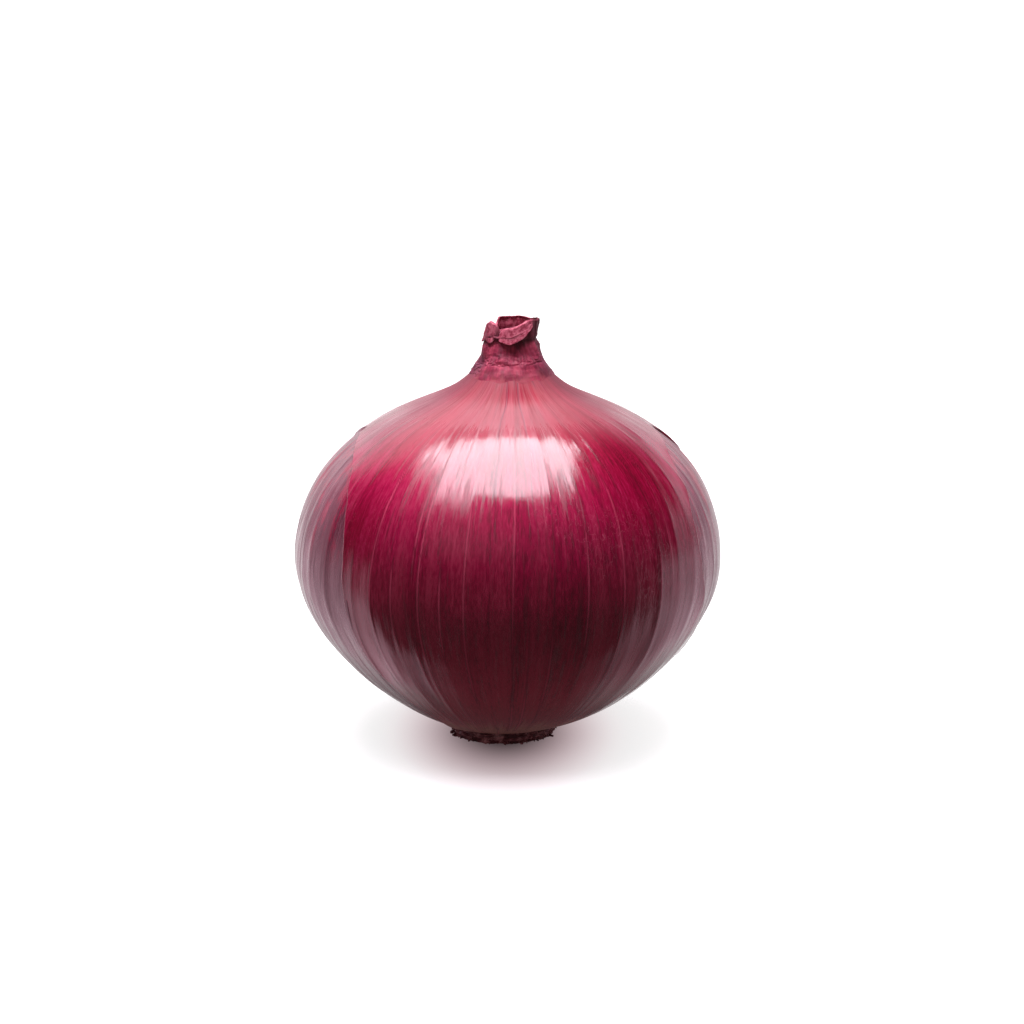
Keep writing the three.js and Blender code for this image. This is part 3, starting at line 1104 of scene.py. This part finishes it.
def add_world():
    """White for the eye. In reflections a white table and wall, and a dark room in front."""
    world = bpy.data.worlds.new("studio")
    bpy.context.scene.world = world
    world.use_nodes = True
    world.node_tree.nodes.clear()
    n = Nodes(world.node_tree)
    right, back, up = n.split(n.add("ShaderNodeTexCoord").outputs["Generated"])
    level = n.math("MAXIMUM", n.math("SUBTRACT", 1.0, n.times(up, up)), 0.0001)
    bearing = n.math("DIVIDE", back, n.math("SQRT", level))
    left = n.span(right, 0.35, -0.35)

    # The table, dimmer on the right and in the onion's shadow.
    deep = n.span(up, -0.97, n.line(left, 0, 1, -0.42, -0.74))
    shadow = n.times(n.span(bearing, 0.55, 0.92), n.span(up, -0.30, -0.52))
    shadow = n.times(shadow, n.span(n.math("ABSOLUTE", right), 0.50, 0.12))
    ceiling = n.span(bearing, 0.1, 0.8, 0.04, 0.46)
    below = n.span(n.math("SUBTRACT", up, ceiling), 0.10, -0.10)
    table = n.times(n.span(bearing, -0.16, 0.16), below)
    table = n.times(table, n.times(deep, n.math("SUBTRACT", 1.0, shadow)))
    horizon = n.span(n.math("ABSOLUTE", n.math("SUBTRACT", up, 0.04)), 0.20, 0.02)
    bright = n.times(n.line(left, 0, 1, 1.10, 1.26), n.span(horizon, 0, 1, 1, 0.62))
    grey = n.add("ShaderNodeCombineColor", {"Red": bright, "Green": bright, "Blue": bright})
    glare = n.mix(n.span(bearing, 0.7, 1.0), TABLE_BESIDE, TABLE_BEHIND)
    glare = n.mix(1.0, glare, grey.outputs[0], blend="MULTIPLY")
    glare = n.mix(table, ROOM, glare)

    # The wall behind, dimmer and farther behind on the right, and a dim glow above the camera.
    past = n.math("SUBTRACT", bearing, n.line(left, 0, 1, 0.22, 0.0))
    wall = n.times(n.span(up, 0.15, 0.35), n.span(up, 0.90, 0.70))
    wall = n.times(n.times(n.span(past, 0.50, 0.80), wall), n.line(left, 0, 1, 0.42, 1.0))
    glare = n.mix(wall, glare, WALL)
    front = n.times(n.span(bearing, -0.45, -0.8), n.span(up, 0.25, 0.5))
    front = n.times(n.times(front, n.span(up, 0.92, 0.80)), n.line(left, 0, 1, 0.08, 0.45))
    glare = n.mix(front, glare, WHITE)

    soft = n.mix(n.span(up, -0.7, 0.1), SOFT_BELOW, SOFT_ABOVE)
    rays = n.add("ShaderNodeLightPath").outputs
    colour = n.mix(rays["Is Glossy Ray"], soft, glare)
    colour = n.mix(rays["Is Camera Ray"], colour, WHITE)
    background = n.add("ShaderNodeBackground", {"Color": colour, "Strength": 1.0})
    output = n.add("ShaderNodeOutputWorld")
    n.feed(output.inputs["Surface"], background.outputs[0])


def add_lights():
    over, aim = (-0.035, 0.0, TOP + 0.45), (-0.035, 0.0, TOP)
    overhead = add_softbox("overhead", over, aim, 0.46, 0.41, 8.6)
    overhead.data.color = (0.97, 0.99, 1.05)
    fill = add_softbox("fill", (-0.55, -0.75, 0.55), (0, 0, 0.04), 0.5, 0.5, 1.0)
    fill.visible_glossy = False
    add_world()
    view = bpy.context.scene.view_settings
    view.view_transform = "Standard"
    view.look = "None"


# -------- the onion

add_camera()
add_floor()
add_lights()

whole = outer_skin(skin_material("skin"))
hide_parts(BULB)
under_skin(skin_material("under_skin", under=True))
paper = dry_neck_material()
dry_neck(paper)
neck_core(paper)
cork = root_material()
root_plate(cork)
root_stubs(cork)
